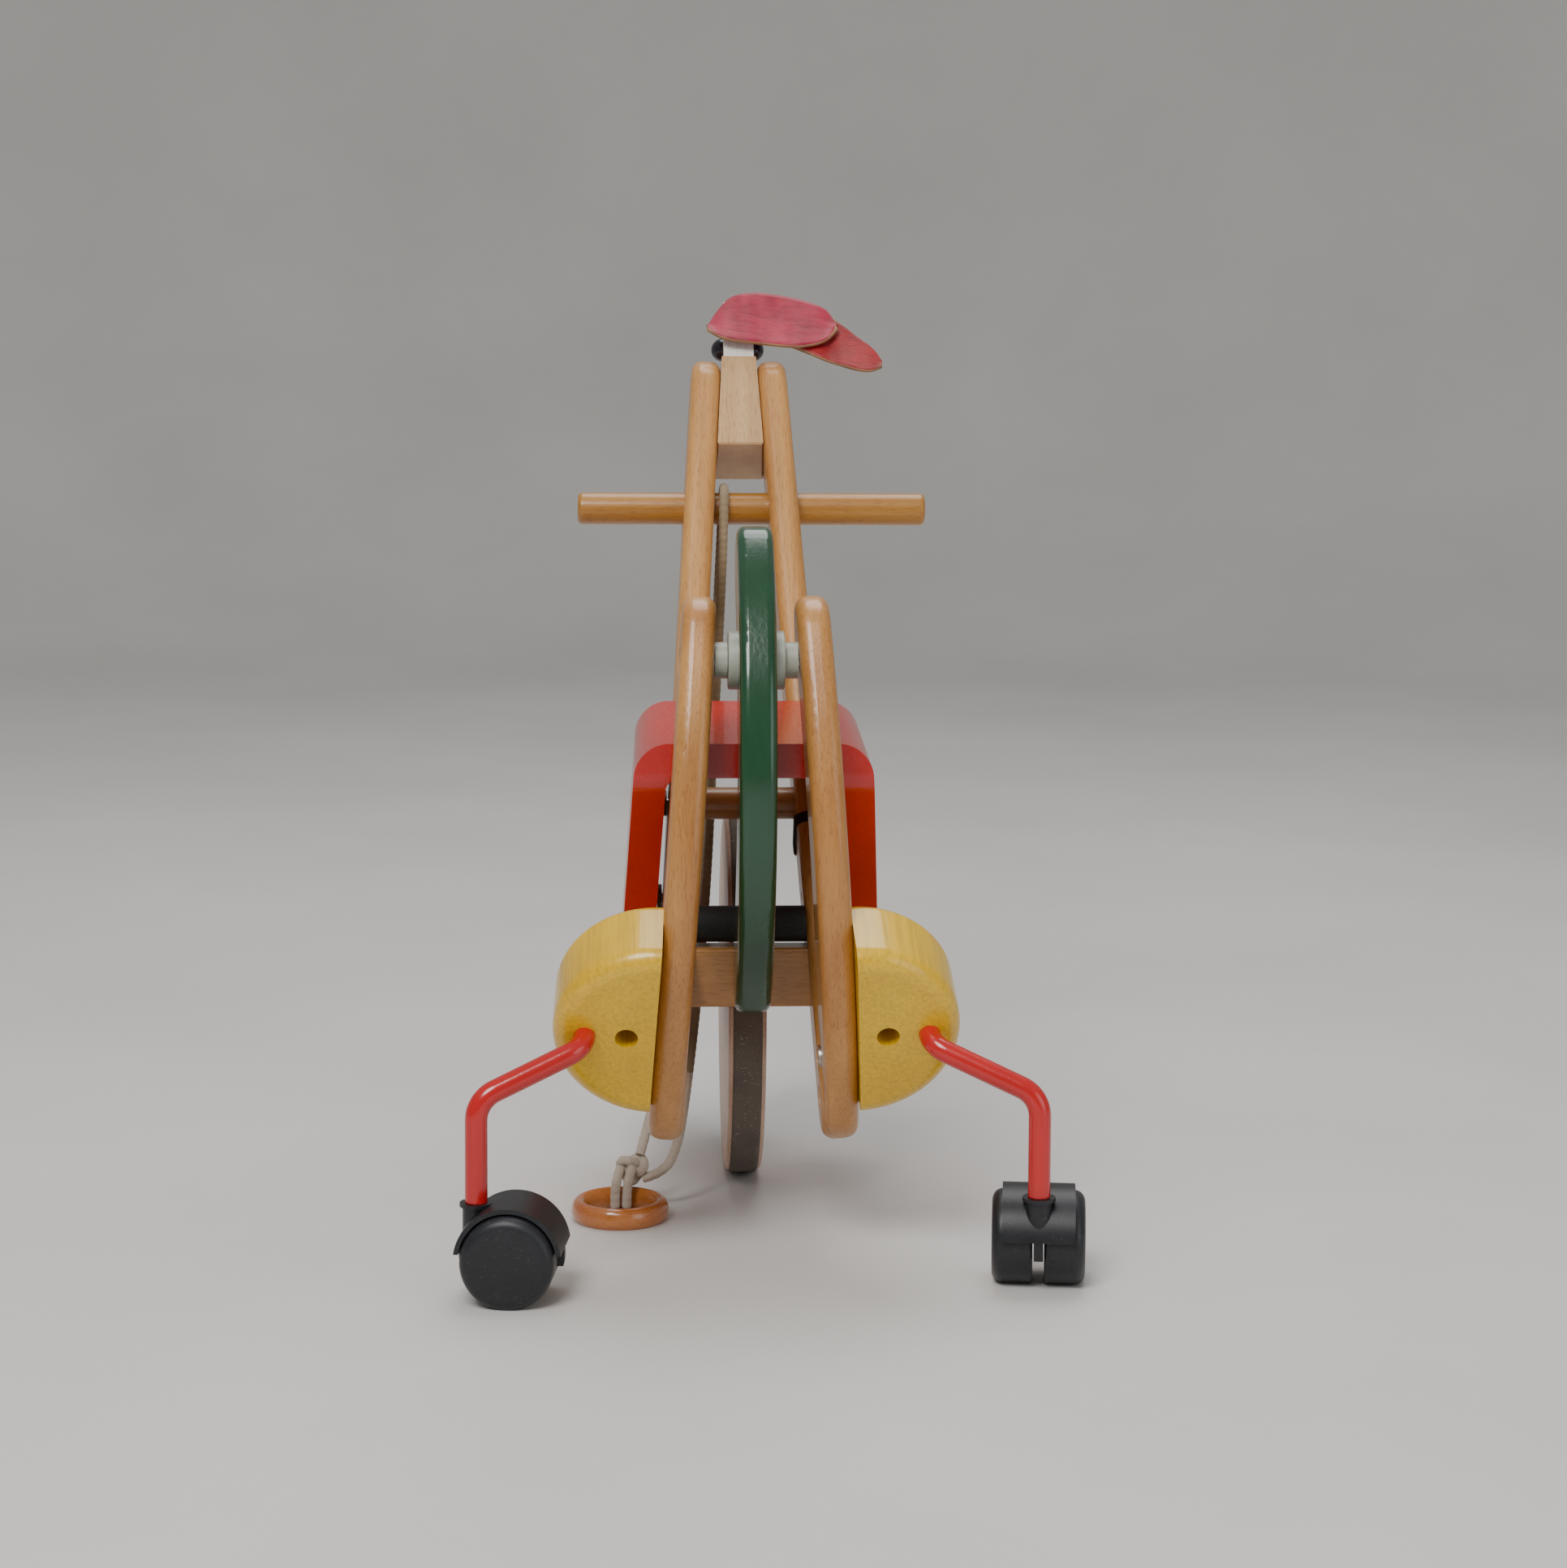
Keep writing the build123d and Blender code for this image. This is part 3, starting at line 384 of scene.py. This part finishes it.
def mesh_object(name, vertices, faces, material):
    mesh = bpy.data.meshes.new(name)
    mesh.from_pydata([tuple(v) for v in vertices], [], faces)
    mesh.update()
    mesh.validate()
    mesh.polygons.foreach_set("use_smooth", [True] * len(mesh.polygons))
    mesh.materials.append(material)
    piece = bpy.data.objects.new(name, mesh)
    bpy.context.scene.collection.objects.link(piece)
    return piece


def braided_tube(name, points, radius, material, closed=False):
    """Tube along points whose wall is raised and sunk like a tubular braid."""
    count = len(points)
    ways = []
    for i in range(count):
        before = points[(i - 1) % count] if closed or i else points[0]
        after = points[(i + 1) % count] if closed or i < count - 1 else points[-1]
        ways.append((after - before).normalized())
    side = ways[0].orthogonal().normalized()
    vertices, travelled = [], 0.0
    for i, (point, way) in enumerate(zip(points, ways)):
        if i:
            travelled += (point - points[i - 1]).length
        side = (side - way * side.dot(way)).normalized()
        other = way.cross(side)
        for j in range(BRAID_AROUND):
            angle = 2 * math.pi * j / BRAID_AROUND
            turn = 2 * math.pi * travelled / BRAID_PITCH
            weave = math.sin(BRAID_STRANDS * angle / 2 + turn) * math.sin(BRAID_STRANDS * angle / 2 - turn)
            reach = radius * (1.0 - BRAID_DEPTH / 2 + BRAID_DEPTH / 2 * weave)
            vertices.append(point + (side * math.cos(angle) + other * math.sin(angle)) * reach)
    faces = []
    for i in range(count if closed else count - 1):
        for j in range(BRAID_AROUND):
            a, b = i * BRAID_AROUND, ((i + 1) % count) * BRAID_AROUND
            k = (j + 1) % BRAID_AROUND
            faces.append((a + j, a + k, b + k, b + j))
    if not closed:
        faces.append(tuple(reversed(range(BRAID_AROUND))))
        faces.append(tuple(range((count - 1) * BRAID_AROUND, count * BRAID_AROUND)))
    return mesh_object(name, vertices, faces, material)


def even(points, step):
    """The same line with its points an even step apart."""
    kept, left = [points[0]], step
    for a, b in zip(points, points[1:]):
        span = (b - a).length
        while span >= left:
            a = a + (b - a) * (left / span)
            kept.append(a)
            span = (b - a).length
            left = step
        left -= span
    kept.append(points[-1])
    return kept


def knot_points():
    """Closed overhand knot, small enough for the knot's ball."""
    points = []
    for i in range(KNOT_RINGS):
        t = 2 * math.pi * i / KNOT_RINGS
        x = math.sin(t) + 2 * math.sin(2 * t)
        y = math.cos(t) - 2 * math.cos(2 * t)
        points.append(spot(KNOT[0] + KNOT_WIDE * x, KNOT[1] - KNOT_DEEP * math.sin(3 * t),
                           KNOT[2] + KNOT_WIDE * y))
    return points


def make_rope():
    plain_cord = braid_material("cord_plain", (0.62, 0.54, 0.46), (0.42, 0.35, 0.27))
    # painted shade: a darker copy of the cord for the rope's upper run inside the frame
    shaded_cord = braid_material("cord_painted_shade", (0.36, 0.28, 0.17), (0.20, 0.15, 0.075))
    for name, route in (("pull_rope_rear_braid", REAR_ROUTE), ("pull_rope_front_braid", FRONT_ROUTE)):
        line = even(nurbs_points(route), ROPE_STEP)
        rope = braided_tube(name, line, ROPE_RADIUS, shaded_cord)
        rope.data.materials.append(plain_cord)
        # faces low on the rope get the plain cord; the upper run keeps the painted shade
        for face in rope.data.polygons:
            if face.center.z < spot(0, 0, PAINTED_SHADE_ABOVE).z:
                face.material_index = 1
        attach(rope, "frame")
        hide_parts(name.replace("_braid", ""))
    knot = braided_tube("rope_knot_loops", knot_points(), ROPE_RADIUS * 1.02, plain_cord, closed=True)
    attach(knot, "frame")
    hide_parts("rope_knot")
    for index, x in enumerate(HITCH_PLACES):
        low = [(x + 3, 164, 25), (x + 1, 158, 21), (x, 158.5, 12), (x, 160.0, 3.6)]
        loop = braided_tube(f"ring_hitch_{index}", even(nurbs_points(low), ROPE_STEP), ROPE_RADIUS, plain_cord)
        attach(loop, "frame")


# ---- leather ears ---------------------------------------------------------------------------------
CROWN_FOOT = (343.8, 501.9)     # Y and Z of the crown's back face at its lower end
CROWN_LEAN = 0.66
LEATHER = 2.4 * MM
EAR_ACROSS, EAR_DOWN = 60, 16   # mesh squares along an ear and down it
UPPER_GAP, UPPER_CURL, LOWER_GAP, LOWER_CURL = 4.2, 5.0, 0.4, 3.0
# Each row of an ear's outline: X, then the heights of its top and its lower edge.
UPPER_EAR = [(-20, 521.5, 519), (-13, 531, 514.5), (-5, 539, 512), (8, 542.3, 510.5), (22, 541.5, 509),
             (36, 539, 508), (48, 535.5, 509.5), (56, 531.5, 512.5), (61, 526, 517.5), (62.5, 523, 520.5)]
LOWER_EAR = [(26, 527, 511), (42, 531, 505), (54, 530, 500), (66, 522, 496), (78, 513, 493), (86, 506, 493.5),
             (91, 500, 496)]


def smooth_row(rows, share):
    """Row of an ear's outline at a share of its length, by a Catmull-Rom curve through the rows."""
    place = share * (len(rows) - 1)
    i = min(int(place), len(rows) - 2)
    t = place - i
    ring = [rows[max(0, min(len(rows) - 1, i + k))] for k in (-1, 0, 1, 2)]
    return [0.5 * (2 * b + (c - a) * t + (2 * a - 5 * b + 4 * c - d) * t * t
                   + (3 * b - a - 3 * c + d) * t ** 3) for a, b, c, d in zip(*ring)]


def ear(name, rows, gap, curl, material, edge):
    """Thick leather ear lying on the crown's back face, its lower edge curling outward."""
    vertices = []
    for i in range(EAR_ACROSS + 1):
        x, top, low = smooth_row(rows, i / EAR_ACROSS)
        for j in range(EAR_DOWN + 1):
            v = j / EAR_DOWN
            z = top + (low - top) * v
            lift = gap + curl * v ** 2 + 0.9 * math.sin(x * 0.16 + 2.2 * v) + 0.5 * math.sin(x * 0.41 - v)
            y = CROWN_FOOT[0] + (z - CROWN_FOOT[1]) * CROWN_LEAN - lift
            vertices.append(spot(x, y, z))
    faces = []
    for i in range(EAR_ACROSS):
        for j in range(EAR_DOWN):
            a = i * (EAR_DOWN + 1) + j
            faces.append((a, a + 1, a + EAR_DOWN + 2, a + EAR_DOWN + 1))
    piece = mesh_object(name, vertices, faces, material)
    piece.data.materials.append(edge)
    thick = piece.modifiers.new("thickness", "SOLIDIFY")
    thick.thickness = LEATHER
    thick.offset = 0.0
    thick.material_offset_rim = 1
    return piece


def make_ears():
    edge = leather("raw_edge", (0.42, 0.23, 0.12), (0.28, 0.13, 0.06))
    crimson = leather("crimson_leather", (0.42, 0.008, 0.045), (0.26, 0.004, 0.024))
    red = leather("red_leather", (0.36, 0.006, 0.010), (0.22, 0.003, 0.006))
    upper = ear("ear_upper_leather", UPPER_EAR, UPPER_GAP, UPPER_CURL, crimson, edge)
    lower = ear("ear_lower_leather", LOWER_EAR, LOWER_GAP, LOWER_CURL, red, edge)
    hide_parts("ear_flap_upper", "ear_pin")
    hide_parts("ear_flap_lower")
    for piece, slot in ((upper, "crimson_leather"), (lower, "red_leather")):
        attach(piece, "frame")


# ---- stage ----------------------------------------------------------------------------------------
FLOOR_R, SWEEP_R, BACKDROP_HIGH = 3.4, 1.2, 2.0
FLOOR_AROUND, SWEEP_STEPS = 96, 12
FLOOR_DROP = 0.3 * MM           # keeps the floor from showing through the faces that rest on it


def make_floor():
    """Round pale floor that sweeps up into a backdrop all the way round."""
    profile = [(0.05, 0.0), (1.2, 0.0), (FLOOR_R, 0.0)]
    for step in range(1, SWEEP_STEPS + 1):
        angle = math.pi / 2 * step / SWEEP_STEPS
        profile.append((FLOOR_R + SWEEP_R * math.sin(angle), SWEEP_R * (1 - math.cos(angle))))
    profile.append((FLOOR_R + SWEEP_R, SWEEP_R + BACKDROP_HIGH))
    around = FLOOR_AROUND
    turns = [2 * math.pi * i / around for i in range(around)]
    vertices = [(r * math.cos(turn), r * math.sin(turn), z) for r, z in profile for turn in turns]
    faces = [tuple(range(around))]
    for ring in range(len(profile) - 1):
        for i in range(around):
            a, b = ring * around, (ring + 1) * around
            k = (i + 1) % around
            faces.append((a + i, b + i, b + k, a + k))
    floor = mesh_object("floor", vertices, faces, floor_material())
    floor.location.z = wheel_low.z - FLOOR_DROP


make_camera()
make_rope()
make_ears()
make_finishes()
make_studio()
make_floor()
